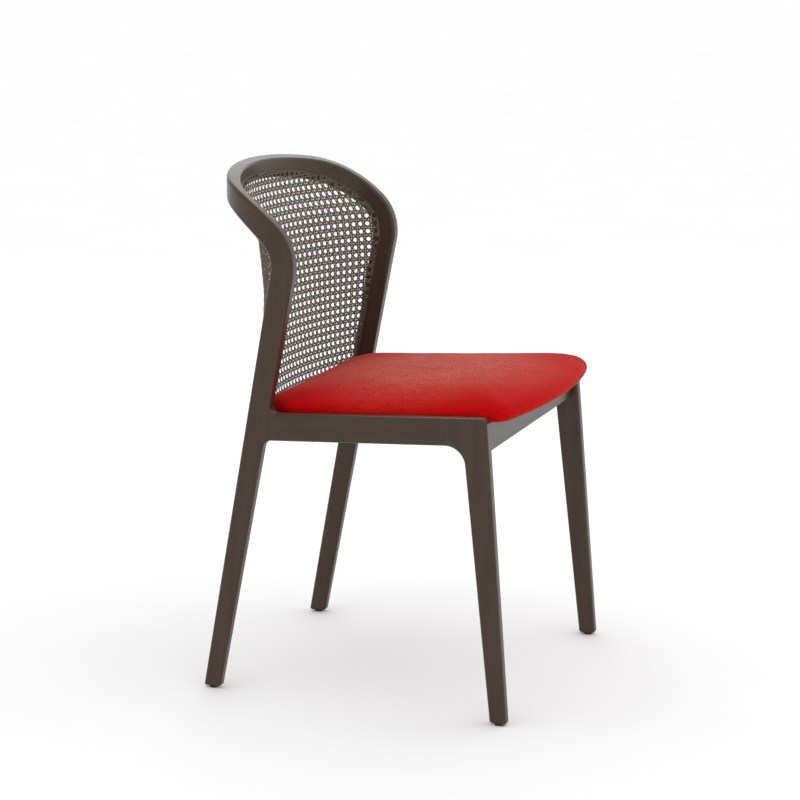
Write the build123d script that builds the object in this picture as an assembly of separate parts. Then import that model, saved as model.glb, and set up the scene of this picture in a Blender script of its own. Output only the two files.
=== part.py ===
from build123d import *
import os
from math import asin, cos, degrees, hypot, radians, sin, sqrt, tan

# A wooden dining chair with a woven cane back that wraps round the sitter and a padded drop-in seat.
# Millimetres. X runs across the chair, +Y to the back, +Z up. The origin is on the floor, near
# the middle of the overall depth. The chair is symmetric about the YZ plane; left is the +X side.

# Side frames: the legs, side rails and stiles of one side lie between two flat leaning planes
foot_half_width = 240.0  # outer face from the middle, at the floor and at mid depth
side_splay = 0.55  # degrees by which a side frame leans in as it rises
plan_taper = 3.0  # degrees by which the side frames close in towards the back
foot_thickness = 17.5
top_thickness = 22.0
taper_height = 790.0  # height at which the members have their top thickness
edge_round = 4.5

# Rear leg and stile, one straight member, seen from the side
rear_foot_back = 249.5
rear_foot_width = 27.5
stile_rake = 11.1  # degrees off plumb, leaning forward
arm_joint_height = 590.0

# Front leg, seen from the side
front_foot_front = -243.5
front_foot_width = 26.0
front_leg_rake = 4.5  # degrees off plumb, leaning back
front_leg_widening = 1.8  # degrees between its front and rear edges
front_corner_radius = 10.0

# Side rail
seat_height = 443.0  # top of the side rail at mid depth
seat_tilt = 3.3  # degrees, front edge higher
rail_height = 41.0
front_knee_radius = 30.0
rear_knee_radius = 15.0
stile_cove_radius = 10.0
shoulder = 5.0  # straight stretch of rail that belongs to each leg

# Back hoop: the side view of its top edge, which continues the front edge of the stile
hoop_depth = 36.0  # at the stiles
kink_height = 638.0
kink_radius = 83.8
kink_turn = 58.3  # degrees
crown_radius = 313.0
crown_turn = 32.0  # degrees
underside_radius = 361.0  # flatter than the crown, so that the hoop thins out to the back

# Back hoop: the plan of its outside
hoop_back = 262.0
hoop_back_radius = 395.0
hoop_corner_radius = 105.0

# Cross rails
front_rail_front = -200.0
front_rail_thickness = 20.0
front_rail_drop = 46.0  # from the seat height to its underside
rear_rail_inside = 188.0  # its inner face at the middle of the chair
rear_rail_radius = 630.0
rear_rail_thickness = 20.0
rear_rail_drop = 23.0  # from the seat height to its top
rear_rail_height = 40.0
cross_rail_edge = 2.0

# Cane panel and the splines that wedge it into its groove
cane_thickness = 1.6
cane_clearance = 0.3
cane_corner = 6.0  # radius at which the cane turns off the stiles
cane_levels = [  # height, depth of the middle and radius of the bow, from the seat up
    (seat_height + 27.0, 197.0, 620.0),
    (600.0, 208.5, 345.0),
    (690.0, 222.2, 300.0),
]
cane_hoop_level = 735.0  # height from which the cane lies along the hoop
cane_hole = 17.5
cane_hole_pitch = 32.0
cane_columns = 12
cane_rows = 9
cane_first_row = 17.0  # from the seat height to the middle of the lowest holes
cane_hole_margin = 6.0  # between the highest holes and the hoop
groove_inset = 22.0  # from the front edge of the stiles to the groove
groove_width = 3.5
groove_depth = 5.0
spline_clearance = 0.25
spline_stands_out = 0.6
lower_groove_drop = 12.0  # from the top of the rear rail to the lower groove

# Padded seat; heights are measured square to the seat plane, from the top of the side rails
pad_front = -256.5
pad_front_bow = 27.0
pad_back = 164.0
pad_front_half_width = 222.0
pad_back_half_width = 203.0
pad_front_corner_radius = 21.0
pad_back_corner_radius = 50.0
pad_bottom = -12.0
pad_belly = -4.5
pad_top = 34.0
pad_crown_power = 4.0  # the crown falls away with this power of the distance from the middle
pad_draw_in = 9.0  # by which the sides draw in from the belly to the underside
cover_thickness = 1.5
soft_clearance = 0.3
cover_tuck = 32.0  # width of cover turned under the board
board_thickness = 9.0
board_margin = 14.0  # from the widest outline of the pad to the edge of the board
dust_cover_thickness = 0.6
dust_cover_overlap = 10.0
seat_clearance = 0.2

# Staples of the dust cover
staple_crown = 10.0
staple_wire = 0.9
staple_bite = 6.0
staple_clearance = 0.15
end_staples = 4
end_staple_pitch = 50.0
side_staples = 3
side_staple_pitch = 70.0

# Blocks under the seat
front_block_leg = 58.0
front_block_tip = 8.0
rear_block_length = 62.0
rear_block_width = 42.0
rear_block_setback = 22.0  # from the back edge of the pad to the back of the rear block
block_height = 24.0

# Fasteners
dowel_diameter = 8.0
dowel_length = 36.0
dowel_pitch = 17.0
dowel_shallow_seat = 13.0
dowel_clearance = 0.1
dowel_end_play = 0.6
bolt_diameter = 6.0
bolt_head_diameter = 12.0
bolt_head_height = 3.5
bolt_clearance = 0.2
front_bolt_inset = 40.0  # from the inner face of the side frame
front_bolt_setback = 12.0  # from the back face of the front rail
rear_bolt_inset = 28.0
nut_flange_diameter = 18.0
nut_flange_thickness = 1.5
nut_barrel_diameter = 8.0
screw_diameter = 4.0
screw_head_diameter = 8.0
screw_head_height = 2.5
screw_length = 30.0
screw_bite = 12.0  # length of thread in the side rail
screw_clearance = 0.15
screw_pitch = 16.0

# Glides
glide_diameter = 14.0
glide_height = 3.0
glide_edge = 0.8
foot_chamfer = 2.5
nail_diameter = 2.5
nail_length = 16.0
nail_head_diameter = 6.0
nail_head_height = 1.2
nail_recess = 0.4  # depth of the nail head inside the glide
nail_clearance = 0.1

front_rail_bottom = seat_height - front_rail_drop
rear_rail_top = seat_height - rear_rail_drop
taper = tan(radians(plan_taper))
splay = tan(radians(side_splay))
tilt = tan(radians(seat_tilt))
rake = tan(radians(stile_rake))
reach = 2 * rear_foot_back
foot_margin = 4 * foot_chamfer


def outer_half(z):
    """Half width over the outer faces at height z and mid depth."""
    return foot_half_width - splay * z


def thickness(z):
    """Thickness of the side frames at height z."""
    return foot_thickness + (top_thickness - foot_thickness) * z / taper_height


def inner_half(z):
    """Half width between the inner faces at height z and mid depth."""
    return outer_half(z) - thickness(z)


def far_half(z):
    """Half width well outside the chair."""
    return outer_half(z) + reach


def on_middle(point):
    """Point of the left frame's middle plane at a place (y, z) of the side view."""
    half = (outer_half(point.Y) + inner_half(point.Y)) / 2
    return Vector(half - taper * point.X, point.X, point.Y)


def side_slab(inner, outer):
    """Wedge on the left side between two leaning planes."""
    low = -foot_margin
    high = 2 * seat_height
    corners = [(inner(low), low), (outer(low), low), (outer(high), high), (inner(high), high)]
    outline = [(half + taper * reach, -reach, z) for half, z in corners]
    face = make_face(Polyline(*outline, close=True))
    return extrude(face, amount=2 * reach * hypot(1, taper), dir=(-taper, 1, 0))


def mirrored(shape):
    """The right-hand twin of a left-hand piece."""
    return mirror(shape, about=Plane.YZ)


def side_view(face, half_length):
    """Prism of a side view face, to both sides of the middle."""
    return extrude(Plane.YZ * face, amount=half_length, both=True)


def seat_plane(height):
    """Plane parallel to the seat, at a height above the top of the side rails."""
    normal = Vector(0, sin(radians(seat_tilt)), cos(radians(seat_tilt)))
    return Plane(origin=Vector(0, 0, seat_height) + normal * height, x_dir=(1, 0, 0), z_dir=normal)


def seat_level(y, height):
    """World height of a plane parallel to the seat at depth y."""
    return seat_height + height / cos(radians(seat_tilt)) - tilt * y


def cylinder(point, axis, radius, start, end):
    """Cylinder along an axis through a point, between two distances from it."""
    body = Cylinder(radius, end - start, align=(Align.CENTER, Align.CENTER, Align.MIN))
    return Plane(origin=point + axis * start, z_dir=axis) * body


# Outlines of the side view, as vectors (y, z)
def stile_front(z):
    """Front edge of the rear leg and stile."""
    return rear_foot_back - rear_foot_width - rake * z


stile_up = Vector(-sin(radians(stile_rake)), cos(radians(stile_rake)))
stile_back = Vector(cos(radians(stile_rake)), sin(radians(stile_rake)))
joint_front = Vector(stile_front(arm_joint_height), arm_joint_height)
joint_back = joint_front + stile_back * hoop_depth
leg_back_slope = (joint_back.X - rear_foot_back) / joint_back.Y
front_slope = tan(radians(front_leg_rake))
front_back_slope = tan(radians(front_leg_rake + front_leg_widening))
front_foot_back = front_foot_front + front_foot_width
rail_back = Vector(cos(radians(seat_tilt)), -sin(radians(seat_tilt)))
rail_up = Vector(sin(radians(seat_tilt)), cos(radians(seat_tilt)))


def meet(foot, slope, level):
    """Place where a leg edge y = foot + slope * z meets a rail edge z = level - tilt * y."""
    z = (level - tilt * foot) / (1 + tilt * slope)
    return Vector(foot + slope * z, z)


rail_bottom = seat_height - rail_height / cos(radians(seat_tilt))
front_knee = meet(front_foot_back, front_back_slope, rail_bottom)
rear_knee = meet(stile_front(0), -rake, rail_bottom)
stile_cove = meet(stile_front(0), -rake, seat_height)
front_corner = meet(front_foot_front, front_slope, seat_height)
front_joint = front_knee + rail_back * (front_knee_radius + shoulder)
rear_joint = rear_knee - rail_back * (rear_knee_radius + shoulder)


def side_frame_face():
    """Side view of one side frame, with its knees and corners rounded."""
    low = -foot_margin
    stile_top = 2 * edge_round + hoop_depth
    outline = [
        (front_foot_front + front_slope * low, low),
        (front_foot_back + front_back_slope * low, low),
        (front_knee.X, front_knee.Y),
        (rear_knee.X, rear_knee.Y),
        (stile_front(low), low),
        (rear_foot_back + leg_back_slope * low, low),
        (joint_back.X + leg_back_slope * stile_top, joint_back.Y + stile_top),
        (stile_front(joint_front.Y + stile_top), joint_front.Y + stile_top),
        (stile_cove.X, stile_cove.Y),
        (front_corner.X, front_corner.Y),
    ]
    face = make_face(Polyline(*outline, close=True))
    rounds = [
        (front_knee, front_knee_radius),
        (rear_knee, rear_knee_radius),
        (stile_cove, stile_cove_radius),
        (front_corner, front_corner_radius),
    ]
    for corner, radius in rounds:
        face = fillet(face.vertices().sort_by_distance(corner)[0], radius)
    return face


def side_frame():
    """Left side frame in one piece, with its long edges rounded."""
    prism = side_view(side_frame_face(), reach)
    frame = prism & side_slab(inner_half, outer_half)
    flats = frame.faces().filter_by(lambda face: abs(face.normal_at().X) > abs(face.normal_at().Y) + 0.5)
    return fillet(flats.edges(), edge_round)


def rail_zone():
    """Stretch of the side view that belongs to the side rail."""
    below = rail_up * -rail_height / 4
    above = rail_up * rail_height * 1.25
    corners = [front_joint + below, rear_joint + below, rear_joint + above, front_joint + above]
    face = make_face(Polyline(*[(corner.X, corner.Y) for corner in corners], close=True))
    return side_view(face, reach)


arm_joint_plane = Plane(
    origin=(0, joint_front.X, joint_front.Y), x_dir=(1, 0, 0), z_dir=(0, stile_up.X, stile_up.Y)
)
floor_plane = Plane.XY.offset(glide_height)


def foot_trimmed(leg):
    """A leg cut level above its glide, with the foot's edges chamfered."""
    leg = split(leg, bisect_by=floor_plane, keep=Keep.TOP)
    foot = leg.faces().sort_by(Axis.Z)[0]
    return chamfer(foot.edges(), foot_chamfer)


# The back: the top edge of the hoop in the side view
def beside(heading):
    """Unit vector to the right of a heading in the side view."""
    return Vector(sin(radians(heading)), -cos(radians(heading)))


stile_heading = 90 + stile_rake
arm_heading = stile_heading - kink_turn
crest_heading = arm_heading - crown_turn
kink_start = Vector(stile_front(kink_height), kink_height)
kink_centre = kink_start + beside(stile_heading) * kink_radius
crown_start = kink_centre - beside(arm_heading) * kink_radius


def crown_middle(inset, radius):
    """Centre of a crown that follows on the kink at an inset from the edge of the back."""
    return kink_centre + beside(arm_heading) * (radius - kink_radius + inset)


def back_region(inset, radius):
    """Everything behind a line at an inset from the edge of the back, round the kink and below a crown."""
    foot = kink_start - stile_up * kink_height / 2 + stile_back * inset
    start = kink_start + stile_back * inset
    middle = crown_middle(inset, radius)
    kink = CenterArc((kink_centre.X, kink_centre.Y), kink_radius - inset, stile_heading + 90, -kink_turn)
    crown = CenterArc((middle.X, middle.Y), radius, arm_heading + 90, -crown_turn)
    end = crown @ 1
    tail = end - Vector(beside(crest_heading).Y, -beside(crest_heading).X) * kink_radius
    edges = Line((foot.X, foot.Y), (start.X, start.Y)) + kink + crown
    edges += Polyline((end.X, end.Y), (tail.X, tail.Y), (tail.X, foot.Y), (foot.X, foot.Y))
    return side_view(make_face(edges), reach)


def under_hoop(inset):
    """Everything behind and below a line parallel to the underside of the hoop."""
    return back_region(inset, underside_radius + hoop_depth - inset)


def plan_outline(half, back, radius, corner, grow):
    """U-shaped plan closed in front: tapering sides, round corners and a bowed back, grown by a distance."""
    lean = hypot(1, taper)
    centre_y = back - radius
    # the corner circle touches the side line and the back arc from inside
    reduced = half - corner * lean
    mean = reduced * taper + centre_y
    rest = reduced**2 + centre_y**2 - (radius - corner) ** 2
    corner_y = (mean + sqrt(mean**2 - lean**2 * rest)) / lean**2
    corner_x = reduced - taper * corner_y
    swing = degrees(asin(corner_x / (radius - corner)))
    left_corner = CenterArc((corner_x, corner_y), corner + grow, plan_taper, 90 - plan_taper - swing)
    bow = CenterArc((0, centre_y), radius + grow, 90 - swing, 2 * swing)
    right_corner = CenterArc((-corner_x, corner_y), corner + grow, 90 + swing, 90 - plan_taper - swing)
    left_start = (half + grow * lean, 0)
    right_start = (-half - grow * lean, 0)
    left_side = Line(left_start, left_corner @ 0)
    right_side = Line(right_corner @ 1, right_start)
    front = Line(right_start, left_start)
    return Face(Wire([left_side, left_corner, bow, right_corner, right_side, front]))


joint_level = (joint_front.Y + joint_back.Y) / 2
hoop_thickness = thickness(joint_level) / hypot(1, taper)


def hoop_outline(grow):
    """Plan of the outside of the hoop, grown by a distance."""
    return plan_outline(outer_half(joint_level), hoop_back, hoop_back_radius, hoop_corner_radius, grow)


def hoop():
    """The two arms and the crest in one piece, with rounded edges, to below the stile joints."""
    band = back_region(0, crown_radius) - under_hoop(hoop_depth)
    walls = extrude(hoop_outline(0) - hoop_outline(-hoop_thickness), amount=2 * kink_height)
    ring = split(walls & band, bisect_by=arm_joint_plane.offset(-hoop_depth), keep=Keep.TOP)
    across = ring.faces().filter_by(lambda face: abs(face.normal_at().X) < 0.001)
    across = across.filter_by(lambda face: abs(face.normal_at().dot(arm_joint_plane.z_dir)) < 0.999)
    upright = ring.faces().filter_by(lambda face: abs(face.normal_at().Z) < 0.001).edges()
    long_edges = [edge for edge in across.edges() if any(edge.is_same(other) for other in upright)]
    return split(fillet(long_edges, edge_round), bisect_by=arm_joint_plane, keep=Keep.TOP)


def groove_run(low_inset, high_inset, depth, stand_out):
    """Strip along the inner face of the stiles and hoop, between two insets from the front edge of the stiles."""
    strip = under_hoop(low_inset) - under_hoop(high_inset)
    walls = hoop_outline(depth - hoop_thickness) - hoop_outline(-stand_out - hoop_thickness)
    walls = Pos(0, 0, rear_rail_top) * walls
    return extrude(walls, amount=2 * kink_height) & strip


# Joints of the frame, drilled for dowels
def dowel_pair(middle, axis, across, seat):
    """Two dowels and their holes, seated to a depth on the near side of a joint."""
    pins = []
    holes = []
    for side in (-0.5, 0.5):
        point = middle + across * side * dowel_pitch
        radius = dowel_diameter / 2
        pins.append(cylinder(point, axis, radius, -seat, dowel_length - seat))
        start = -seat - dowel_end_play
        end = dowel_length - seat + dowel_end_play
        holes.append(cylinder(point, axis, radius + dowel_clearance, start, end))
    return pins, holes


def side_view_pair(middle, along, across):
    """Dowel pair in the middle plane of the left frame, at a place and headings of the side view."""
    axis = (on_middle(middle + along) - on_middle(middle - along)).normalized()
    side = (on_middle(middle + across) - on_middle(middle - across)).normalized()
    return dowel_pair(on_middle(middle), axis, side, dowel_length / 2)


def inner_face_point(y, z):
    """Point of the left frame's inner face."""
    return Vector(inner_half(z) - taper * y, y, z)


front_rail_back = front_rail_front + front_rail_thickness
seat_support = pad_bottom - dust_cover_thickness - seat_clearance
front_rail_top = seat_level(front_rail_back, seat_support)
front_rail_middle = Vector(
    front_rail_front + front_rail_thickness / 2, (front_rail_bottom + front_rail_top) / 2
)
rear_rail_centre = rear_rail_inside - rear_rail_radius
rear_rail_axis_radius = rear_rail_radius + rear_rail_thickness / 2
rear_rail_level = rear_rail_top - rear_rail_height / 2
rear_rail_end_half = inner_half(rear_rail_level) - taper * rear_rail_inside
rear_rail_swing = asin(rear_rail_end_half / rear_rail_axis_radius)
rear_rail_end = rear_rail_centre + rear_rail_axis_radius * cos(rear_rail_swing)


def frame_dowels():
    """Dowels and holes of the left half of the frame."""
    rail_middle = rail_up * rail_height / 2
    crest_along = Vector(cos(radians(arm_heading)), sin(radians(arm_heading)))
    crest_middle = crown_start + beside(arm_heading) * hoop_depth / 2
    rear_axis = Vector(-cos(rear_rail_swing), sin(rear_rail_swing), 0)
    front_axis = Vector(-1, 0, 0)
    upright = Vector(0, 0, 1)
    pairs = [
        side_view_pair(front_joint + rail_middle, rail_back, rail_up),
        side_view_pair(rear_joint + rail_middle, rail_back, rail_up),
        side_view_pair(joint_front + stile_back * hoop_depth / 2, stile_up, stile_back),
        side_view_pair(crest_middle, crest_along, beside(arm_heading)),
        dowel_pair(
            inner_face_point(front_rail_middle.X, front_rail_middle.Y),
            front_axis,
            upright,
            dowel_shallow_seat,
        ),
        dowel_pair(inner_face_point(rear_rail_end, rear_rail_level), rear_axis, upright, dowel_shallow_seat),
    ]
    pins = [pin for pair in pairs for pin in pair[0]]
    holes = [hole for pair in pairs for hole in pair[1]]
    return pins, holes


# Cross rails
def front_rail():
    """Straight rail between the front legs, its top sloping with the seat."""
    outline = [
        (front_rail_front, front_rail_bottom),
        (front_rail_back, front_rail_bottom),
        (front_rail_back, front_rail_top),
        (front_rail_front, seat_level(front_rail_front, seat_support)),
    ]
    rail = side_view(make_face(Polyline(*outline, close=True)), foot_half_width)
    lengthwise = rail.edges().filter_by(Axis.X)
    return fillet(lengthwise, cross_rail_edge)


def bow_sector(inside, outside, half):
    """Plan of a curved strip along the rear rail, between two radii, to a half width."""
    swing = degrees(asin(half / inside))
    inner = CenterArc((0, rear_rail_centre), inside, 90 - swing, 2 * swing)
    outer = CenterArc((0, rear_rail_centre), outside, 90 - swing, 2 * swing)
    edges = inner + outer + Line(inner @ 0, outer @ 0) + Line(inner @ 1, outer @ 1)
    return make_face(edges)


lower_groove_top = rear_rail_top - lower_groove_drop


def rear_rail():
    """Curved rail between the rear legs, with the lower cane groove in its inner face."""
    sector = bow_sector(rear_rail_radius, rear_rail_radius + rear_rail_thickness, foot_half_width)
    rail = extrude(Pos(0, 0, rear_rail_top - rear_rail_height) * sector, amount=rear_rail_height)
    rail = rail - left_outside - right_outside
    rims = rail.faces().filter_by(Plane.XY).edges().filter_by(GeomType.CIRCLE)
    rail = chamfer(rims, cross_rail_edge)
    groove = bow_sector(rear_rail_radius - groove_depth, rear_rail_radius + groove_depth, foot_half_width)
    return rail - extrude(Pos(0, 0, lower_groove_top - groove_width) * groove, amount=groove_width)


# Cane panel
def cane_barrel(inset):
    """Body from the rear rail up to the hoop, leaning back as it rises, drawn in by an inset."""
    half = inner_half(joint_level)
    high = hoop_outline(-hoop_thickness - inset)
    sections = []
    for level in (lower_groove_top, rear_rail_top):
        low = plan_outline(half, rear_rail_inside, rear_rail_radius, cane_corner, -inset)
        sections.append(Pos(0, 0, level) * low)
    for level, back, radius in cane_levels:
        sections.append(Pos(0, 0, level) * plan_outline(half, back, radius, cane_corner, -inset))
    for level in (cane_hoop_level, hoop_top):
        sections.append(Pos(0, 0, level) * high)
    return loft(sections, ruled=True)


def crown_height(y, inset, radius):
    """Height of a crown of the side view at depth y."""
    middle = crown_middle(inset, radius)
    return middle.Y + sqrt(radius**2 - (y - middle.X) ** 2)


hoop_top = crown_height(hoop_back, 0, crown_radius)


def hoop_underside(x):
    """Height of the inner lower edge of the hoop at a distance from the middle."""
    radius = hoop_back_radius - hoop_thickness
    y = hoop_back - hoop_back_radius + sqrt(radius**2 - x**2)
    return crown_height(y, hoop_depth, underside_radius)


def cane_holes():
    """Openings of the weave, as a plain grid that stays below the hoop."""
    holes = []
    for column in range(cane_columns):
        x = (column - (cane_columns - 1) / 2) * cane_hole_pitch
        limit = hoop_underside(abs(x) + cane_hole / 2) - cane_hole_margin - cane_hole / 2
        for row in range(cane_rows):
            z = seat_height + cane_first_row + row * cane_hole_pitch
            if z < limit:
                holes.append(Pos(x, hoop_back / 2, z) * Box(cane_hole, hoop_back, cane_hole))
    return holes


def cane_panel():
    """Thin sheet on the inside of the back, from groove to groove."""
    sheet = cane_barrel(cane_clearance) - cane_barrel(cane_clearance + cane_thickness)
    return (sheet & under_hoop(groove_inset + groove_width)) - cane_holes()


def upper_spline():
    """Spline in the groove of the stiles and hoop."""
    low = groove_inset + spline_clearance
    high = groove_inset + groove_width - spline_clearance
    return groove_run(low, high, groove_depth - spline_clearance, spline_stands_out)


def lower_spline():
    """Spline in the groove of the rear rail."""
    inside = rear_rail_radius - spline_stands_out
    outside = rear_rail_radius + groove_depth - spline_clearance
    sector = bow_sector(inside, outside, rear_rail_end_half - rear_rail_thickness)
    bottom = lower_groove_top - groove_width + spline_clearance
    return extrude(Pos(0, 0, bottom) * sector, amount=groove_width - 2 * spline_clearance)


# Padded seat
pad_half_depth = (pad_back - pad_front) / 2
pad_middle = (pad_back + pad_front) / 2


def pad_outline(wall, draw):
    """Plan of the pad within a wall, drawn in towards its middle."""
    front_half = pad_front_half_width - wall
    back_half = pad_back_half_width - wall
    front_corner_y = pad_front + pad_front_bow + wall
    left = (front_half, front_corner_y)
    right = (-front_half, front_corner_y)
    bow = ThreePointArc(right, (0, pad_front + wall), left)
    sides = Polyline(left, (back_half, pad_back - wall), (-back_half, pad_back - wall), right)
    face = make_face(bow + sides)
    corners = face.vertices().sort_by(Axis.Y)
    face = fillet(corners[:2], pad_front_corner_radius - wall)
    corners = face.vertices().sort_by(Axis.Y)
    face = fillet(corners[-2:], pad_back_corner_radius - wall)
    middle = Pos(0, -pad_middle) * face
    return Pos(0, pad_middle) * scale(middle, by=1 - draw / pad_half_depth)


def pad_form(wall):
    """Crowned pad whose sides draw in below the belly, within a wall of the outside."""
    bottom = pad_bottom + wall
    top = pad_top - wall
    sections = []
    for share in (1.0, 0.5):
        height = pad_belly + (bottom - pad_belly) * share
        sections.append(seat_plane(height) * pad_outline(wall, pad_draw_in * share**2))
    for share in (0.0, 0.35, 0.6, 0.8, 0.92, 0.985):
        height = pad_belly + (top - pad_belly) * share
        draw = pad_half_depth * (1 - (1 - share**2) ** (1 / pad_crown_power))
        sections.append(seat_plane(height) * pad_outline(wall, draw))
    return loft(sections, ruled=True)


def seat_prism(draw, low, high):
    """Flat piece with the pad's outline drawn in, between two heights."""
    return extrude(seat_plane(low) * pad_outline(0, draw), amount=high - low, dir=seat_plane(0).z_dir)


board_bottom = pad_bottom + cover_thickness
board_top = board_bottom + board_thickness
cover_edge = board_margin + cover_tuck


def seat_cover():
    """Cover drawn over the foam and turned under the board."""
    opening = seat_prism(cover_edge, pad_bottom - cover_thickness, board_bottom + cover_thickness)
    return pad_form(0) - pad_form(cover_thickness) - opening


def seat_foam():
    """Foam between the board and the cover."""
    foam = pad_form(cover_thickness + soft_clearance)
    return split(foam, bisect_by=seat_plane(board_top + soft_clearance), keep=Keep.TOP)


def dust_cover():
    """Thin cloth that closes the underside of the seat."""
    return seat_prism(cover_edge - dust_cover_overlap, pad_bottom - dust_cover_thickness, pad_bottom)


def staple_places():
    """Places in the seat plane, and turns, of the staples of the dust cover."""
    inset = cover_edge - dust_cover_overlap / 2
    places = []
    for number in range(end_staples):
        x = (number - (end_staples - 1) / 2) * end_staple_pitch
        front_radius = (pad_front_half_width**2 + pad_front_bow**2) / (2 * pad_front_bow)
        front = pad_front + inset + front_radius - sqrt(front_radius**2 - x**2)
        places.append((x, front, 0))
        places.append((x, pad_back - inset, 0))
    for number in range(side_staples):
        y = pad_middle + (number - (side_staples - 1) / 2) * side_staple_pitch
        share = (y - pad_front - pad_front_bow) / (pad_back - pad_front - pad_front_bow)
        half = pad_front_half_width + (pad_back_half_width - pad_front_half_width) * share
        places.append((half - inset, y, 90))
        places.append((inset - half, y, 90))
    return places


def staple(place, grow):
    """One staple driven up through dust cover and cover into the board."""
    x, y, turn = place
    wire = staple_wire + 2 * grow
    low = pad_bottom - dust_cover_thickness
    leg_length = board_bottom + staple_bite + grow - low
    lift = (Align.CENTER, Align.CENTER, Align.MIN)
    hang = (Align.CENTER, Align.CENTER, Align.MAX)
    body = Box(staple_crown + 2 * grow, wire, staple_wire, align=hang)
    for side in (-0.5, 0.5):
        body += Pos(side * (staple_crown - staple_wire), 0, 0) * Box(wire, wire, leg_length, align=lift)
    return seat_plane(low) * Pos(x, y, 0) * Rot(0, 0, turn) * body


# Blocks under the seat, with their bolts, nuts and screws
block_bottom = seat_support - block_height
block_level = (seat_support + block_bottom) / 2
rear_block_back = pad_back - rear_block_setback
rear_block_front = rear_block_back - rear_block_length


def block_from(outline):
    """Block of a plan outline, between the seat and its underside, fitted to the left frame."""
    body = extrude(make_face(Polyline(*outline, close=True)), amount=2 * seat_height)
    body = split(body, bisect_by=seat_plane(seat_support), keep=Keep.BOTTOM)
    body = split(body, bisect_by=seat_plane(block_bottom), keep=Keep.TOP)
    return body - left_outside


def block_face(y):
    """Distance from the middle to the inner face of the left frame, at the blocks."""
    return inner_half(seat_level(y, block_level)) - taper * y


def front_block():
    """Corner block between the front rail and the side frame."""
    corner = block_face(front_rail_back)
    low = front_rail_back
    high = front_rail_back + front_block_leg
    outline = [
        (corner + front_block_tip, low),
        (corner - front_block_leg, low),
        (corner - front_block_leg, low + front_block_tip),
        (corner - front_block_tip, high),
        (corner + front_block_tip, high),
    ]
    return block_from(outline)


def rear_block():
    """Block along the side frame, in front of the rear leg."""
    face = block_face(rear_block_back)
    beyond = block_face(rear_block_front) + rear_block_width
    outline = [
        (face - rear_block_width, rear_block_front),
        (face - rear_block_width, rear_block_back),
        (beyond, rear_block_back),
        (beyond, rear_block_front),
    ]
    return block_from(outline)


def seat_point(x, y, height):
    """Point above a place (x, y) on a plane parallel to the seat."""
    return Vector(x, y, seat_level(y, height))


seat_up = seat_plane(0).z_dir
bolt_places = [
    (block_face(front_rail_back) - front_bolt_inset, front_rail_back + front_bolt_setback),
    (block_face(rear_block_back) - rear_bolt_inset, (rear_block_front + rear_block_back) / 2),
]
bolt_reach = board_top - nut_flange_thickness - block_bottom


def bolt(place):
    """Pan-head bolt from under a block up into its nut in the board."""
    point = seat_point(*place, block_bottom)
    head = cylinder(point, seat_up, bolt_head_diameter / 2, -bolt_head_height, 0)
    rim = head.edges().sort_by(Axis.Z)[0]
    return fillet(rim, bolt_head_height / 2) + cylinder(point, seat_up, bolt_diameter / 2, 0, bolt_reach)


def bolt_hole(place):
    """Clearance hole of a bolt."""
    point = seat_point(*place, block_bottom)
    radius = bolt_diameter / 2 + bolt_clearance
    return cylinder(point, seat_up, radius, -bolt_clearance, bolt_reach + bolt_clearance)


def nut_body(place, grow):
    """Flange and barrel of a nut let into the top of the board, without its bore."""
    point = seat_point(*place, block_bottom) + seat_up * (board_top - block_bottom)
    flange = cylinder(point, seat_up, nut_flange_diameter / 2 + grow, -nut_flange_thickness - grow, 0)
    barrel = cylinder(point, seat_up, nut_barrel_diameter / 2 + grow, -board_thickness, 0)
    return flange + barrel


screw_axis = Vector(1, 0, 0)
screw_starts = [
    front_rail_back + front_block_leg / 2,
    rear_block_front + (rear_block_length - screw_pitch) / 2,
]


def screw_points():
    """Points of the inner face at which the block screws enter the side frame."""
    points = []
    for start in screw_starts:
        for y in (start, start + screw_pitch):
            points.append(inner_face_point(y, seat_level(y, -rail_height / 2)))
    return points


def screw(point):
    """Countersunk wood screw through a block into the side frame."""
    start = screw_bite - screw_length
    head = Cone(
        screw_head_diameter / 2,
        screw_diameter / 2,
        screw_head_height,
        align=(Align.CENTER, Align.CENTER, Align.MIN),
    )
    head = Plane(origin=point + screw_axis * start, z_dir=screw_axis) * head
    shank = cylinder(point, screw_axis, screw_diameter / 2, start + screw_head_height, screw_bite)
    return head + shank


def screw_hole(point):
    """Counterbored hole of a block screw."""
    start = screw_bite - screw_length
    head_radius = screw_head_diameter / 2 + screw_clearance
    counterbore = cylinder(point, screw_axis, head_radius, -rear_block_width - foot_thickness, start)
    seat = cylinder(point, screw_axis, head_radius, start, start + screw_head_height)
    shank = cylinder(
        point, screw_axis, screw_diameter / 2 + screw_clearance, start, screw_bite + screw_clearance
    )
    return counterbore + seat + shank


# Glides
front_foot_middle = Vector(
    front_foot_front + front_foot_width / 2 + (front_slope + front_back_slope) / 2 * glide_height,
    glide_height,
)
rear_foot_middle = Vector(
    rear_foot_back - rear_foot_width / 2 + (leg_back_slope - rake) / 2 * glide_height,
    glide_height,
)
floor_up = Vector(0, 0, 1)


def below(middle):
    """Point of the floor under the middle of a foot."""
    foot = on_middle(middle)
    return Vector(foot.X, foot.Y, 0)


def nail(point, grow):
    """Nail of a glide, its head inside the glide."""
    head_top = nail_recess + nail_head_height
    head = cylinder(point, floor_up, nail_head_diameter / 2 + grow, nail_recess, head_top + grow)
    shank = cylinder(point, floor_up, nail_diameter / 2 + grow, head_top, nail_recess + nail_length + grow)
    return head + shank


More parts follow.
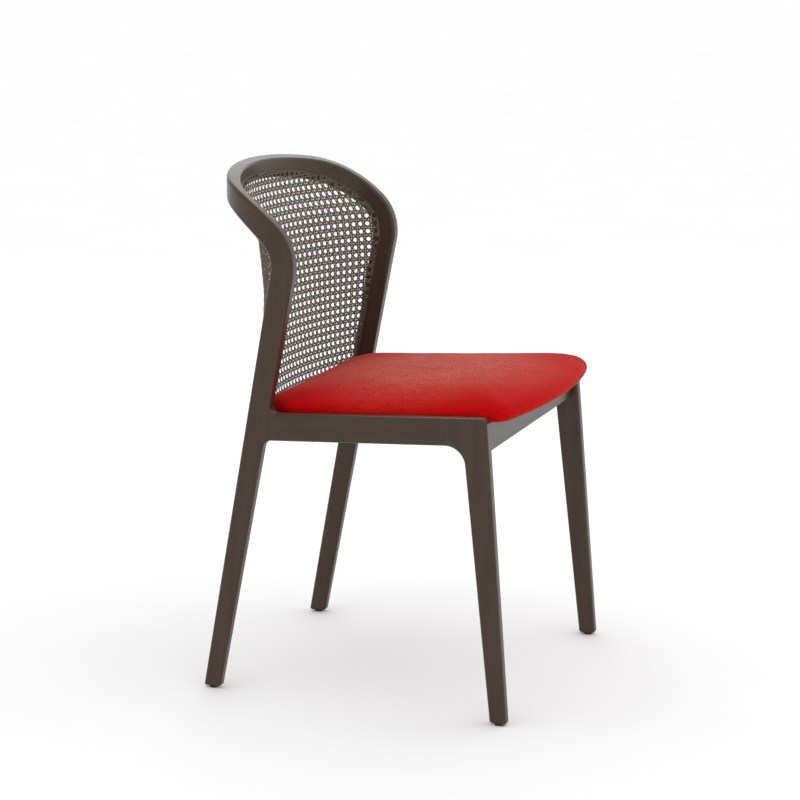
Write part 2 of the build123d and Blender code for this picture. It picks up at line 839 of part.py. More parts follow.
def glide(point):
    """Round glide with a rounded rim and a recess for its nail."""
    disc = cylinder(point, floor_up, glide_diameter / 2, 0, glide_height)
    disc = fillet(disc.edges().sort_by(Axis.Z)[0], glide_edge)
    recess = cylinder(point, floor_up, nail_head_diameter / 2 + nail_clearance, 0, nail_recess)
    return disc - nail(point, nail_clearance) - recess


# Assembly
left_outside = side_slab(inner_half, far_half)
right_outside = mirrored(left_outside)
dowels, dowel_holes = frame_dowels()
groove = groove_run(groove_inset, groove_inset + groove_width, groove_depth, groove_depth)

left_frame = side_frame()
left_rail = left_frame & rail_zone()
left_front_leg, left_rear_leg = (left_frame - rail_zone()).solids().sort_by(Axis.Y)
left_rear_leg = split(left_rear_leg, bisect_by=arm_joint_plane, keep=Keep.BOTTOM)
left_front_leg = foot_trimmed(left_front_leg)
left_rear_leg = foot_trimmed(left_rear_leg)

crest_plane = Plane(
    origin=(0, crown_start.X, crown_start.Y),
    x_dir=(1, 0, 0),
    z_dir=(0, cos(radians(arm_heading)), sin(radians(arm_heading))),
)
back_hoop = hoop()
crest = split(back_hoop, bisect_by=crest_plane, keep=Keep.TOP)
left_arm = split(back_hoop, bisect_by=crest_plane, keep=Keep.BOTTOM).solids().sort_by(Axis.X)[-1]

front_floor = below(front_foot_middle)
rear_floor = below(rear_foot_middle)
screws = [screw(point) for point in screw_points()]
screw_holes = [screw_hole(point) for point in screw_points()]
bolts = [bolt(place) for place in bolt_places]
bolt_holes = [bolt_hole(place) for place in bolt_places]
nuts = [nut_body(place, 0) - bolt_hole(place) for place in bolt_places]
nut_pockets = [nut_body(place, bolt_clearance) for place in bolt_places]
staples = [staple(place, 0) for place in staple_places()]
staple_holes = [staple(place, staple_clearance) for place in staple_places()]


def both_sides(shapes):
    """The shapes of the left side and their right-hand twins."""
    return shapes + [mirrored(shape) for shape in shapes]


all_dowel_holes = both_sides(dowel_holes)
all_bolt_holes = both_sides(bolt_holes)
left_nodes = {
    "rear_leg": left_rear_leg - groove - dowel_holes - screw_holes - nail(rear_floor, nail_clearance),
    "front_leg": left_front_leg - dowel_holes - screw_holes - nail(front_floor, nail_clearance),
    "side_rail": left_rail - dowel_holes - screw_holes,
    "back_arm": left_arm - groove - dowel_holes,
    "front_corner_block": front_block() - screw_holes - bolt_holes,
    "rear_seat_block": rear_block() - screw_holes - bolt_holes,
    "front_glide": glide(front_floor),
    "rear_glide": glide(rear_floor),
}
nodes = {
    "crest_rail": crest - groove - all_dowel_holes,
    "front_rail": front_rail() - left_outside - right_outside - all_dowel_holes,
    "rear_rail": rear_rail() - all_dowel_holes,
    "cane_panel": cane_panel(),
    "upper_cane_spline": upper_spline(),
    "lower_cane_spline": lower_spline(),
    "seat_board": seat_prism(board_margin, board_bottom, board_top)
    - both_sides(nut_pockets)
    - staple_holes,
    "seat_foam": seat_foam(),
    "seat_cover": seat_cover() - all_bolt_holes - staple_holes,
    "dust_cover": dust_cover() - all_bolt_holes - staple_holes,
    "dust_cover_staples": staples,
    "frame_dowels": both_sides(dowels),
    "block_screws": both_sides(screws),
    "seat_bolts": both_sides(bolts),
    "tee_nuts": both_sides(nuts),
    "glide_nails": both_sides([nail(front_floor, 0), nail(rear_floor, 0)]),
}
for name, shape in left_nodes.items():
    nodes[name + "_left"] = shape
    nodes[name + "_right"] = mirrored(shape)

os.makedirs("parts", exist_ok=True)
for name, shape in nodes.items():
    solids = shape if isinstance(shape, list) else [shape]
    solids = [solid for piece in solids for solid in piece.solids()]
    export_step(Compound(solids), "parts/" + name + ".step")
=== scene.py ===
import math

import bpy
import numpy as np
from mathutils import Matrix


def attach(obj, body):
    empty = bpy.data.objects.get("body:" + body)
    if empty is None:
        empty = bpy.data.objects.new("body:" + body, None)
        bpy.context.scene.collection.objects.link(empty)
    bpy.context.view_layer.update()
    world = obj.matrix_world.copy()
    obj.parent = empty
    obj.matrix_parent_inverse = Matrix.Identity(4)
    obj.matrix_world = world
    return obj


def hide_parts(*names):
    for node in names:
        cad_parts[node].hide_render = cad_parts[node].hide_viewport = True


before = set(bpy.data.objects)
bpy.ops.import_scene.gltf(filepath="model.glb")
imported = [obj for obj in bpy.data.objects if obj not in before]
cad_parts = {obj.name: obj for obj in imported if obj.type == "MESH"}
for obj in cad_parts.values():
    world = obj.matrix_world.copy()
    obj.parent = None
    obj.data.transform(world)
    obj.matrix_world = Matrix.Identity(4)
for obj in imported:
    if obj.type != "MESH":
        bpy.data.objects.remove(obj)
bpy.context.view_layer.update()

# Materials
noise_low, noise_high = 0.3, 0.7  # most of a noise lies between these
mix_first, mix_second, mix_result = 6, 7, 2  # the Mix node's sockets for colours


def material(name):
    """A new node material, its tree, its shader and a helper that adds a node."""
    made = bpy.data.materials.new(name)
    made.use_nodes = True
    tree = made.node_tree
    shader = tree.nodes["Principled BSDF"]

    def add(kind, links=None, **values):
        node = tree.nodes.new(kind)
        for key, value in values.items():
            if key in node.inputs:
                node.inputs[key].default_value = value
            else:
                setattr(node, key, value)
        for key, socket in (links or {}).items():
            tree.links.new(socket, node.inputs[key])
        return node

    return made, tree, shader, add


def scaled(factor, values):
    return tuple(factor * value for value in values)


def object_place(add, **values):
    """Object coordinates through a mapping."""
    place = add("ShaderNodeTexCoord").outputs["Object"]
    return add("ShaderNodeMapping", {"Vector": place}, **values).outputs["Vector"]


def noise(add, scale, detail, roughness):
    """Noise over object coordinates stretched by a scale."""
    place = object_place(add, Scale=scale)
    texture = add("ShaderNodeTexNoise", {"Vector": place}, Scale=1.0, Detail=detail, Roughness=roughness)
    return texture.outputs["Fac"]


def between(add, value, low, high, to_low=0.0, to_high=1.0, kind="LINEAR"):
    """Value mapped from one range to another."""
    ends = {"From Min": low, "From Max": high, "To Min": to_low, "To Max": to_high}
    return add("ShaderNodeMapRange", {"Value": value}, interpolation_type=kind, **ends).outputs["Result"]


def ramp(add, factor, stops):
    """Colour ramp through (position, colour) stops."""
    made = add("ShaderNodeValToRGB", {"Fac": factor})
    band = made.color_ramp.elements
    while len(band) < len(stops):
        band.new(0.5)
    for element, (position, colour) in zip(band, stops):
        element.position = position
        element.color = (*colour, 1)
    return made.outputs["Color"]


def blend_number(add, share, first, second):
    """Mix of two numbers, each a socket, by a fixed share."""
    return add("ShaderNodeMix", {"A": first, "B": second}, Factor=share).outputs["Result"]


def blend_colour(add, factor, first, second):
    """Mix of two colours, each a socket, by a third socket."""
    made = add("ShaderNodeMix", {0: factor, mix_first: first, mix_second: second}, data_type="RGBA")
    return made.outputs[mix_result]


def bump(add, tree, shader, height, strength, distance):
    """Relief on the shader from a height socket."""
    made = add("ShaderNodeBump", {"Height": height}, Strength=strength, Distance=distance)
    tree.links.new(made.outputs["Normal"], shader.inputs["Normal"])


def wood(name, grain, dark, light, rough):
    """Wood with streaks and short pores along the axis in which the grain scale is small."""
    made, tree, shader, add = material(name)
    streak = noise(add, grain, detail=5.0, roughness=0.6)
    fine = noise(add, scaled(6, grain), detail=3.0, roughness=0.7)
    speck = noise(add, scaled(12, grain), detail=2.0, roughness=0.5)
    mixed = blend_number(add, 0.4, streak, fine)
    shade = ramp(add, mixed, [(0.34, dark), (0.66, light)])
    pore = between(add, speck, 0.62, 0.74, to_high=0.55)
    pore_tone = ramp(add, streak, [(noise_low, scaled(0.45, dark)), (noise_high, scaled(0.7, dark))])
    polish = between(add, mixed, noise_low, noise_high, rough + 0.05, rough - 0.04)
    tree.links.new(blend_colour(add, pore, shade, pore_tone), shader.inputs["Base Color"])
    tree.links.new(polish, shader.inputs["Roughness"])
    shader.inputs["Specular IOR Level"].default_value = 0.38
    bump(add, tree, shader, fine, strength=0.10, distance=0.0003)
    return made


def mottled(name, scale, dark, light, rough, depth, metallic=0.0):
    """Fine mottled finish for metal, plastic, foam and cloth."""
    made, tree, shader, add = material(name)
    grit = noise(add, (scale, scale, scale), detail=4.0, roughness=0.6)
    polish = between(add, grit, noise_low, noise_high, rough - 0.05, rough + 0.05)
    tree.links.new(ramp(add, grit, [(0.35, dark), (0.65, light)]), shader.inputs["Base Color"])
    tree.links.new(polish, shader.inputs["Roughness"])
    shader.inputs["Metallic"].default_value = metallic
    bump(add, tree, shader, grit, strength=0.2, distance=depth)
    return made


def red_wool():
    """Felted red wool: yarn flecks over broad patches, with a painted sheen that makes the colour paler
    towards the seat's middle, where the top catches the light.
    """
    made, tree, shader, add = material("red_wool")
    fleck = noise(add, (400, 400, 400), detail=4.0, roughness=0.8)
    patch = noise(add, (26, 26, 26), detail=3.0, roughness=0.5)
    mixed = blend_number(add, 0.12, fleck, patch)
    deep = ramp(add, mixed, [(0.38, (0.38, 0.0008, 0.0012)), (0.62, (0.53, 0.0030, 0.0034))])
    pale = ramp(add, mixed, [(0.43, (0.42, 0.016, 0.013)), (0.57, (0.54, 0.130, 0.090))])
    # counted from the seat's middle, in shares of its half width and half depth
    from_middle = object_place(add, Location=(0, 0.226, 0), Scale=(4.5, 4.76, 0))
    reach = add("ShaderNodeVectorMath", {"Vector": from_middle}, operation="LENGTH").outputs["Value"]
    # painted sheen: the base colour turns paler towards the seat's middle, standing in for light falling
    # on the top
    painted_sheen = between(add, reach, 0.30, 1.10, to_low=1.0, to_high=0.0, kind="SMOOTHSTEP")
    tree.links.new(blend_colour(add, painted_sheen, deep, pale), shader.inputs["Base Color"])
    tree.links.new(between(add, fleck, noise_low, noise_high, 0.86, 0.98), shader.inputs["Roughness"])
    shader.inputs["Specular IOR Level"].default_value = 0.05
    shader.inputs["Sheen Weight"].default_value = 0.11
    shader.inputs["Sheen Roughness"].default_value = 0.35
    shader.inputs["Sheen Tint"].default_value = (1.0, 0.82, 0.72, 1)
    bump(add, tree, shader, fleck, strength=0.35, distance=0.0006)
    return made


stain_dark = (0.031, 0.0170, 0.0084)
stain_light = (0.055, 0.0305, 0.0158)
stain_rough = 0.30
upright_wood = wood("stained_wood_upright", (60, 60, 5), stain_dark, stain_light, stain_rough)
side_wood = wood("stained_wood_side", (60, 5, 60), stain_dark, stain_light, stain_rough)
cross_wood = wood("stained_wood_cross", (5, 60, 60), stain_dark, stain_light, stain_rough)
cane_skin = wood("stained_cane", (150, 150, 150),
                 (0.066, 0.046, 0.030), (0.205, 0.152, 0.108), rough=0.42)
spline_wood = wood("stained_spline", (60, 60, 60),
                   (0.042, 0.028, 0.017), (0.090, 0.064, 0.044), rough=0.36)
bare_wood = wood("bare_wood", (60, 8, 60), (0.42, 0.27, 0.15), (0.58, 0.41, 0.26), rough=0.6)
steel = mottled("zinc_steel", 900.0, (0.34, 0.34, 0.35), (0.48, 0.48, 0.49),
                rough=0.35, depth=0.00005, metallic=1.0)
nylon = mottled("black_nylon", 700.0, (0.010, 0.009, 0.008), (0.022, 0.020, 0.018),
                rough=0.5, depth=0.0001)
foam = mottled("cream_foam", 500.0, (0.62, 0.55, 0.36), (0.78, 0.72, 0.52), rough=0.92, depth=0.0004)
black_cloth = mottled("black_cloth", 800.0, (0.008, 0.008, 0.008), (0.022, 0.022, 0.022),
                      rough=0.92, depth=0.0003)
wool = red_wool()

# The finish of each CAD node, by the longest of these words that its name starts with
finishes = {
    "rear_leg": upright_wood,
    "front_leg": upright_wood,
    "side_rail": side_wood,
    "back_arm": upright_wood,
    "crest_rail": cross_wood,
    "front_rail": cross_wood,
    "rear_rail": cross_wood,
    "cane": cane_skin,
    "upper_cane": spline_wood,
    "lower_cane": spline_wood,
    "seat_board": bare_wood,
    "seat_foam": foam,
    "seat_cover": wool,
    "dust_cover_staples": steel,
    "dust_cover": black_cloth,
    "frame_dowels": bare_wood,
    "block_screws": steel,
    "seat_bolts": steel,
    "tee_nuts": steel,
    "glide_nails": steel,
    "front_corner_block": bare_wood,
    "rear_seat_block": bare_wood,
    "front_glide": nylon,
    "rear_glide": nylon,
}
for name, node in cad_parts.items():
    longest = max((word for word in finishes if name.startswith(word)), key=len)
    node.data.materials.clear()
    node.data.materials.append(finishes[longest])


# Pieces and lines
def placed(name, data):
    """A new object in the scene."""
    made = bpy.data.objects.new(name, data)
    bpy.context.scene.collection.objects.link(made)
    return made


def mesh_piece(name, points, faces, finish):
    """A mesh object; points are in millimetres."""
    mesh = bpy.data.meshes.new(name)
    mesh.from_pydata((np.asarray(points) / 1000).tolist(), [], faces)
    mesh.materials.append(finish)
    return placed(name, mesh)


def smooth_shaded(piece):
    """The piece with smooth faces, riding on the chair's one body."""
    piece.data.polygons.foreach_set("use_smooth", [True] * len(piece.data.polygons))
    piece.data.update()
    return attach(piece, "root")


def along(heading):
    """Unit vectors at headings."""
    return np.stack([np.cos(heading), np.sin(heading)], -1)


def beside(heading):
    """Unit vector to the right of a heading."""
    return np.array([math.sin(heading), -math.cos(heading)])


def lengths_of(line):
    """Length along a line of points up to each of them."""
    return np.concatenate([[0], np.cumsum(np.linalg.norm(np.diff(line, axis=0), axis=1))])


def places_on(line, lengths):
    """Points at lengths along a line of points."""
    run = lengths_of(line)
    return np.stack([np.interp(lengths, run, line[:, k]) for k in (0, 1)], -1)


# Cane: the sheet on which the strands are woven, in millimetres
taper = math.tan(math.radians(3.0))
lean = math.hypot(1, taper)
sheet_bottom = 408.0
sheet_top = 780.0
sheet_depth = 1.9  # from the inner faces of the hoop and the rear rail
side_half = 213.42  # inner faces of the stiles, from the middle, at mid depth
hoop_level = 735.0  # height from which the cane lies along the hoop
hoop_inside = (241.1, 374.1, 84.1)
# height, depth of the middle, radius of the bow, radius of the corners
levels = np.array([
    (sheet_bottom, 188.0, 630.0, 6.0),
    (420.0, 188.6, 630.0, 6.0),
    (470.0, 197.0, 600.0, 7.0),
    (535.0, 202.6, 455.0, 7.0),
    (600.0, 208.5, 348.0, 8.0),
    (645.0, 215.3, 318.0, 9.0),
    (690.0, 222.2, 303.0, 12.0),
    (712.0, 231.0, 338.0, 44.0),
    (hoop_level, *hoop_inside),
    (sheet_top, *hoop_inside),
])
side_run = 150.0  # length of the side past the corner
row_margin = 4.0  # past the bottom and the top of the sheet
row_step = 2.0
column_step = 1.5
column_count = 230
evening_passes = 24


def plan_curve(z):
    """Half of the sheet's plan at a height: points at equal steps from the middle to the side."""
    back, radius, corner = (np.interp(z, levels[:, 0], levels[:, k]) for k in (1, 2, 3))
    centre_y = back - radius
    # the corner's centre lies beside the stile and inside the bow
    reduced = side_half - corner * lean
    mean = reduced * taper + centre_y
    rest = reduced**2 + centre_y**2 - (radius - corner) ** 2
    corner_y = (mean + math.sqrt(mean**2 - lean**2 * rest)) / lean**2
    corner_x = reduced - taper * corner_y
    turn = math.acos(corner_x / (radius - corner))
    line = np.concatenate([
        [0, centre_y] + (radius - sheet_depth) * along(np.linspace(math.pi / 2, turn, 120)),
        [corner_x, corner_y] + (corner - sheet_depth) * along(np.linspace(turn, math.atan(taper), 60)),
    ])
    line = np.append(line, [line[-1] + side_run * np.array([taper, -1])], axis=0)
    return places_on(line, np.arange(column_count) * column_step)


def evened(grid):
    """Grid evened out along its height."""
    for _ in range(evening_passes):
        grid[1:-1] = 0.25 * grid[:-2] + 0.5 * grid[1:-1] + 0.25 * grid[2:]
    return grid


row_heights = np.arange(sheet_bottom - row_margin, sheet_top + row_margin, row_step)
sheet = evened(np.array([plan_curve(z) for z in row_heights]))


def on_sheet(across, z):
    """Points of the sheet at distances across from the middle, at heights z."""
    row = np.clip((z - row_heights[0]) / row_step, 0, len(row_heights) - 1.001)
    column = np.clip(np.abs(across) / column_step, 0, column_count - 1.001)
    i, j = row.astype(int), column.astype(int)
    up, over = (row - i)[:, None], (column - j)[:, None]
    low = sheet[i, j] * (1 - over) + sheet[i, j + 1] * over
    high = sheet[i + 1, j] * (1 - over) + sheet[i + 1, j + 1] * over
    x, y = (low * (1 - up) + high * up).T
    return np.stack([np.sign(across) * x, y, z], -1)


# The edge of the back in the side view: up the stile, round the kink and along the hoop
stile_rake = math.radians(11.1)
stile_front = 222.0  # at the floor
hoop_depth = 36.0
kink_height = 638.0
kink_radius = 83.8
kink_turn = math.radians(58.3)
underside_radius = 361.0
groove_edge = 24.6  # from the edge of the back to the ends of the strands

crown_reach = underside_radius + hoop_depth
stile_heading = math.pi / 2 + stile_rake
arm_heading = stile_heading - kink_turn
kink_start = np.array([stile_front - math.tan(stile_rake) * kink_height, kink_height])
kink_centre = kink_start + beside(stile_heading) * kink_radius
crown_centre = kink_centre + beside(arm_heading) * (crown_reach - kink_radius)


def inset(y, z):
    """Distance of places (y, z) of the side view behind the edge of the back, parallel to the groove."""
    place = np.stack([y, z], -1)
    by_stile = (place - kink_start) @ beside(stile_heading)
    in_kink = kink_radius - np.linalg.norm(place - kink_centre, axis=-1)
    in_crown = crown_reach - np.linalg.norm(place - crown_centre, axis=-1)
    above_stile = (place - kink_start) @ along(stile_heading) > 0
    past_kink = (place - kink_centre) @ along(arm_heading) > 0
    return np.where(past_kink & above_stile, in_crown, np.where(above_stile, in_kink, by_stile))


# Strands of the weave
pitch = 12.7
pair_gap = 3.7
strand_width = 2.55
strand_thickness = 0.75
layer = 0.6
ripple_height = 0.15 * layer
strand_step = 0.55
strand_margin = 3.0  # past the bottom and the top of the sheet, before the cut
keep_every = 4  # steps between the rings of a strand
fewest_steps = 8  # a shorter stretch is left out
probe = 0.7  # distance over which the slope of the sheet is taken
strand_points = []
strand_faces = []


def add_strand(across, z, lift):
    """One strand along a line of the sheet, cut at the groove, as a flat tube of four sides."""
    fine = on_sheet(across, z)
    inside = (inset(fine[:, 1], fine[:, 2]) > groove_edge) & (z > sheet_bottom) & (z < sheet_top)
    ends = np.flatnonzero(np.diff(np.concatenate([[0], inside.astype(int), [0]])))
    for start, end in zip(ends[::2], ends[1::2]):
        if end - start < fewest_steps:
            continue
        picked = np.linspace(start, end - 1, max(3, (end - start) // keep_every)).astype(int)
        over, height = across[picked], z[picked]
        centre = on_sheet(over, height)
        forward = np.gradient(centre, axis=0)
        forward /= np.linalg.norm(forward, axis=1)[:, None]
        sheet_right = on_sheet(over + probe, height) - on_sheet(over - probe, height)
        sheet_up = on_sheet(over, height + probe) - on_sheet(over, height - probe)
        normal = np.cross(sheet_right, sheet_up)
        normal /= np.linalg.norm(normal, axis=1)[:, None]
        sideways = np.cross(normal, forward) * strand_width / 2
        rise = normal * strand_thickness / 2
        centre = centre + normal * lift[picked][:, None]
        ring = [centre + sideways, centre + rise, centre - sideways, centre - rise]
        first = sum(len(block) for block in strand_points)
        last = first + 4 * (len(picked) - 1)
        strand_points.append(np.stack(ring, 1).reshape(-1, 3))
        for base in range(first, last, 4):
            for side in range(4):
                other = (side + 1) % 4
                strand_faces.append((base + side, base + other, base + 4 + other, base + 4 + side))
        strand_faces.append((first + 3, first + 2, first + 1, first))
        strand_faces.append((last, last + 1, last + 2, last + 3))


def ripple(run, side):
    """Slight rise and fall of a strand along its run, opposite in the two strands of a pair."""
    return ripple_height * np.cos(math.pi * run / pair_gap + math.pi * side)


# Upright pairs at the back, level pairs in front of them, one diagonal between the two
# and one that passes over the level pairs and behind the upright ones
widest = 330.0
most_columns = int(widest / pitch) + 1
first_row, last_row = int(sheet_bottom / pitch) - 1, int(sheet_top / pitch) + 1
most_diagonals = 90
crossing_height = 46 * pitch  # a row at which the diagonals pass halfway between the upright pairs
pair_sides = (-0.5, 0.5)
heights = np.arange(sheet_bottom - strand_margin, sheet_top + strand_margin, strand_step)
widths = np.arange(-widest, widest, strand_step)
for column in range(-most_columns, most_columns + 1):
    for side in pair_sides:
        upright = np.full_like(heights, column * pitch + side * pair_gap)
        add_strand(upright, heights, ripple(heights, side) - layer)
for row in range(first_row, last_row + 1):
    for side in pair_sides:
        level = np.full_like(widths, row * pitch + side * pair_gap)
        add_strand(widths, level, ripple(widths, side) + layer)
over_and_under = 2 * layer * np.cos(2 * math.pi * heights / pitch)
for number in range(-most_diagonals, most_diagonals):
    offset = (number + 0.5) * pitch
    add_strand(heights + offset - crossing_height, heights, np.zeros_like(heights))
    add_strand(offset + crossing_height - heights, heights, over_and_under)
weave = mesh_piece("cane_weave", np.concatenate(strand_points), strand_faces, cane_skin)
smooth_shaded(weave)
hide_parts("cane_panel")

# Padded seat: rings of its outline, on a plane that tilts back
seat_tilt = math.radians(3.3)
seat_origin = np.array([0, 0, 443.0])
seat_back = np.array([0, math.cos(seat_tilt), -math.sin(seat_tilt)])
seat_up = np.array([0, math.sin(seat_tilt), math.cos(seat_tilt)])
pad_front, pad_back, pad_bow = -256.5, 161.5, 27.0
pad_front_half, pad_back_half = 222.0, 203.0
pad_bottom, pad_belly, pad_top = -12.0, -4.5, 34.0
front_round, back_round, least_round = 21.0, 58.0, 14.0
pad_middle = (pad_front + pad_back) / 2
pad_half_depth = (pad_back - pad_front) / 2
most_draw = 70.0  # from here on the outline shrinks towards its middle
ring_count = 240


def pad_outline(draw):
    """Points at equal steps round the seat's outline drawn in, measured from its middle."""
    full_radius = (pad_front_half**2 + pad_bow**2) / (2 * pad_bow)
    bow_centre = pad_front + full_radius
    bow_radius = full_radius - draw
    front = np.array([pad_front_half, pad_front + pad_bow])
    back = np.array([pad_back_half, pad_back])
    side = (back - front) / np.linalg.norm(back - front)
    inward = np.array([-side[1], side[0]])
    front = front + inward * draw
    front_radius = max(front_round - draw / 2, least_round)
    back_radius = max(back_round - draw, least_round)
    rear_edge = pad_back - draw
    # the front corner's centre lies beside the side line and inside the bow
    start = front + inward * front_radius - np.array([0, bow_centre])
    middle = start @ side
    root = math.sqrt(middle**2 - start @ start + (bow_radius - front_radius) ** 2)
    reach = min(value for value in (-middle - root, -middle + root) if value > 0)
    corner = front + inward * front_radius + side * reach
    first = math.atan2(corner[1] - bow_centre, corner[0])
    outward = math.atan2(-inward[1], -inward[0])
    base = front + inward * back_radius
    rear = base + side * (rear_edge - back_radius - base[1]) / side[1]
    half = np.concatenate([
        [0, bow_centre] + bow_radius * along(np.linspace(-math.pi / 2, first, 60)),
        corner + front_radius * along(np.linspace(first, outward, 30)),
        rear + back_radius * along(np.linspace(outward, math.pi / 2, 30)),
        [[0, rear_edge]],
    ])
    loop = np.concatenate([half, half[-2::-1] * [-1, 1]])
    steps = np.linspace(0, lengths_of(loop)[-1], ring_count, endpoint=False)
    return places_on(loop, steps) - [0, pad_middle]


def pad_ring(draw):
    """Outline drawn in from the edge, past a limit shrunk towards the middle."""
    ring = pad_outline(min(draw, most_draw))
    return ring * (1 - max(draw - most_draw, 0) / (pad_half_depth - most_draw))


def ring_mesh(profile):
    """Points and faces of rings of the outline, each with its draw and its heights over the seat plane."""
    points = []
    faces = []
    for draw, height in profile:
        ring = pad_ring(draw)
        place = seat_origin + ring[:, :1] * [1, 0, 0] + (ring[:, 1:] + pad_middle) * seat_back
        points.append(place + np.broadcast_to(height, ring_count)[:, None] * seat_up)
    for base in range(0, (len(profile) - 1) * ring_count, ring_count):
        after = base + ring_count
        for k in range(ring_count):
            n = (k + 1) % ring_count
            faces.append((base + k, after + k, after + n, base + n))
    faces.append(tuple(range(ring_count)))
    return np.concatenate(points), faces


def evaluated(piece):
    """The piece with its modifiers."""
    return piece.evaluated_get(bpy.context.evaluated_depsgraph_get())


def vertex_places(mesh):
    """Places of a mesh's vertices, in metres."""
    places = np.empty(3 * len(mesh.vertices))
    mesh.vertices.foreach_get("co", places)
    return places.reshape(-1, 3)


def blow_up(piece, voxel, held_below, most):
    """Remesh a closed cover evenly and swell it as cloth under pressure, held below a height."""
    relax_passes, frames, averaging_passes = 2, 20, 20
    scene = bpy.context.scene
    remesh = piece.modifiers.new("even", "REMESH")
    remesh.mode = "VOXEL"
    remesh.voxel_size = voxel
    relax = piece.modifiers.new("relax", "SMOOTH")
    relax.iterations = relax_passes
    even = bpy.data.meshes.new_from_object(evaluated(piece))
    piece.modifiers.clear()
    piece.data = even
    rest = vertex_places(even)
    height = (rest * 1000 - seat_origin) @ seat_up
    held = piece.vertex_groups.new(name="held")
    held.add(np.flatnonzero(height < held_below).tolist(), 1.0, "REPLACE")
    cloth = piece.modifiers.new("cover", "CLOTH")
    cloth.settings.vertex_group_mass = "held"
    cloth.settings.use_pressure = True
    cloth.settings.uniform_pressure_force = 4.0
    cloth.settings.effector_weights.gravity = 0.0
    cloth.settings.bending_stiffness = 10.0
    cloth.settings.compression_stiffness = 3.0
    cloth.point_cache.frame_start = 1
    cloth.point_cache.frame_end = frames
    for moment in range(1, frames + 1):
        scene.frame_set(moment)
    shift = vertex_places(evaluated(piece).data) - rest
    length = np.maximum(np.linalg.norm(shift, axis=1), 1e-9)
    shift *= np.minimum(1, most / length)[:, None]
    # each vertex takes half of its move from the vertices around it
    ends = np.empty(2 * len(even.edges), int)
    even.edges.foreach_get("vertices", ends)
    first, second = ends.reshape(-1, 2).T
    meeting = np.bincount(ends, minlength=len(rest))[:, None]
    for _ in range(averaging_passes):
        around = np.zeros_like(shift)
        np.add.at(around, first, shift[second])
        np.add.at(around, second, shift[first])
        shift = 0.5 * shift + 0.5 * around / meeting
    piece.modifiers.clear()
    scene.frame_set(1)
    even.vertices.foreach_set("co", (rest + shift).ravel())
    piece.modifiers.new("fine", "SUBSURF")


# The cover as cut is boxier and flatter than the settled pad
slack_top, slack_side = 4.5, -0.6
underside_lift = 0.5
shell_top = pad_top - slack_top
shell_bottom = pad_bottom + underside_lift
belly_climb = 11.0  # of the widest line, from the middle of the seat to its back edge
crown_power = 5.0
draw_in = 9.0  # of the sides, from the belly to the underside
top_draw, underside_draw = 200.0, 100.0  # of the innermost rings
crown_rings, side_rings = 36, 8
steepest = 1.54  # angle of the crown's first ring, just short of a quarter turn


def belly_height(draw):
    """Heights of the widest line over the seat plane, round the outline drawn in."""
    backness = np.clip(pad_ring(draw)[:, 1] / pad_half_depth, 0, 1)
    return pad_belly + belly_climb * backness


shell = [(top_draw, shell_top)]
for share in np.sin(np.linspace(steepest, 0, crown_rings)):
    draw = pad_half_depth * (1 - (1 - share**2) ** (1 / crown_power)) + slack_side
    belly = belly_height(draw)
    shell.append((draw, belly + (shell_top - belly) * share))
for share in np.linspace(0, 1, side_rings + 1)[1:]:
    draw = slack_side + draw_in * share**2
    belly = belly_height(draw)
    shell.append((draw, belly + (shell_bottom - belly) * share))
shell.append((underside_draw, shell_bottom))
shell_points, shell_faces = ring_mesh(shell)
shell_faces.append(tuple(reversed(range(len(shell_points) - ring_count, len(shell_points)))))
cushion = mesh_piece("seat_cushion", shell_points, shell_faces, wool)
blow_up(cushion, voxel=0.005, held_below=14.0, most=0.005)
smooth_shaded(cushion)
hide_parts("seat_cover", "seat_foam")

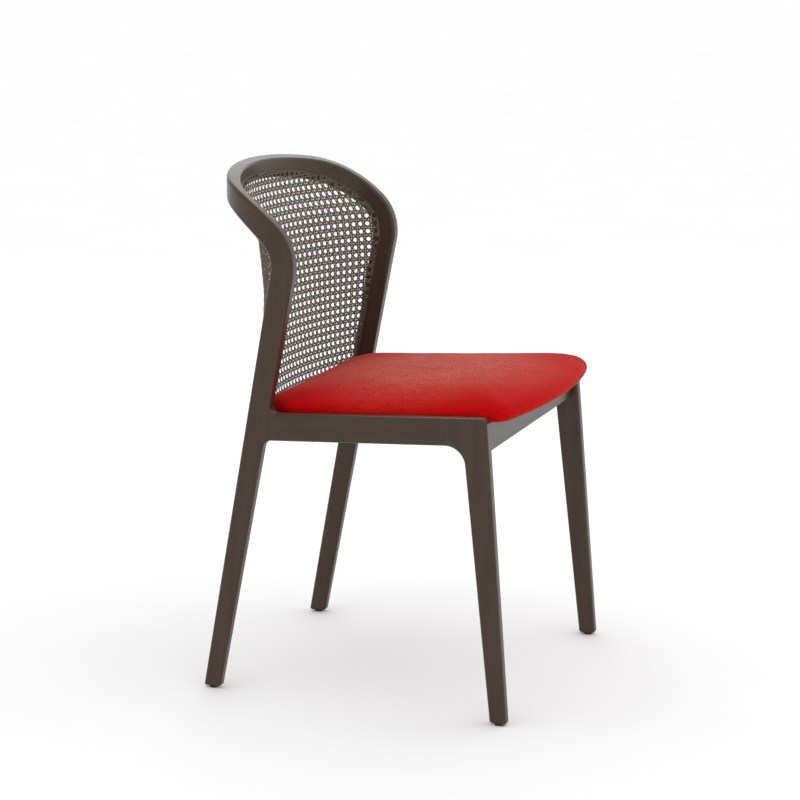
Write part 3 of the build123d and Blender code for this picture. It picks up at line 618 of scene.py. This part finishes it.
# Dust cover: thin cloth stapled under the seat, sagging a little in the middle, clear of the blocks
cut = 36.0  # by which the pad's outline is drawn in to the edge of the cloth
inner_cut = 205.0
cloth_ring_count = 30
cloth_drop = 0.3  # below the pad
deepest_sag = 5.0
sag_half_width, sag_half_depth = 150.0, 130.0
cloth_rings = []
for draw in np.linspace(inner_cut, cut, cloth_ring_count):
    ring = pad_ring(draw)
    off_middle = np.hypot(ring[:, 0] / sag_half_width, ring[:, 1] / sag_half_depth)
    sag = deepest_sag * np.clip(1 - off_middle**2, 0, 1) ** 2
    cloth_rings.append((draw, pad_bottom - cloth_drop - sag))
dust_points, dust_faces = ring_mesh(cloth_rings)
dust = mesh_piece("dust_cloth", dust_points, dust_faces, black_cloth)
smooth_shaded(dust)
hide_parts("dust_cover")

# Stage: pale floor, soft studio light and the camera
world = bpy.data.worlds.new("studio")
bpy.context.scene.world = world
world.use_nodes = True
sky = world.node_tree.nodes["Background"]
sky.inputs["Color"].default_value = (1, 1, 1, 1)
sky.inputs["Strength"].default_value = 1.0

floor_paint, floor_tree, floor_shader, floor_add = material("pale_floor")
cloud = noise(floor_add, (3, 3, 3), detail=2.0, roughness=0.5)
cloud_tone = ramp(floor_add, cloud, [(noise_low, (0.98, 0.98, 0.98)), (noise_high, (1, 1, 1))])
floor_tree.links.new(cloud_tone, floor_shader.inputs["Base Color"])
floor_shader.inputs["Roughness"].default_value = 1.0
floor_shader.inputs["Specular IOR Level"].default_value = 0.0
floor_half = 60000.0
floor_corners = floor_half * np.array([(-1, -1, 0), (1, -1, 0), (1, 1, 0), (-1, 1, 0)])
floor = mesh_piece("floor", floor_corners, [(0, 1, 2, 3)], floor_paint)

lamp_size = 2.5
aim_height = 0.5
for name, power, place in (("key", 11, (0.6, -2.6, 3.2)), ("rim", 13, (3.0, 1.2, 2.4))):
    lamp = bpy.data.lights.new(name, "AREA")
    lamp.size = lamp_size
    lamp.energy = power
    stand = placed(name, lamp)
    stand.location = place
    right, back, up = place
    lamp_turn = math.atan2(math.hypot(right, back), up - aim_height)
    stand.rotation_euler = (lamp_turn, 0, math.atan2(right, -back))

camera = bpy.data.cameras.new("camera")
camera.sensor_width = 36.0
camera.lens = 110.95
camera.clip_end = 200
camera_dip, camera_heading = 0.2001, -1.2273
eye = placed("camera", camera)
eye.location = (-3.52869, -1.25143, 1.18145)
eye.rotation_euler = (math.pi / 2 - camera_dip, 0, camera_heading)
bpy.context.scene.camera = eye
bpy.context.scene.view_settings.view_transform = "Standard"
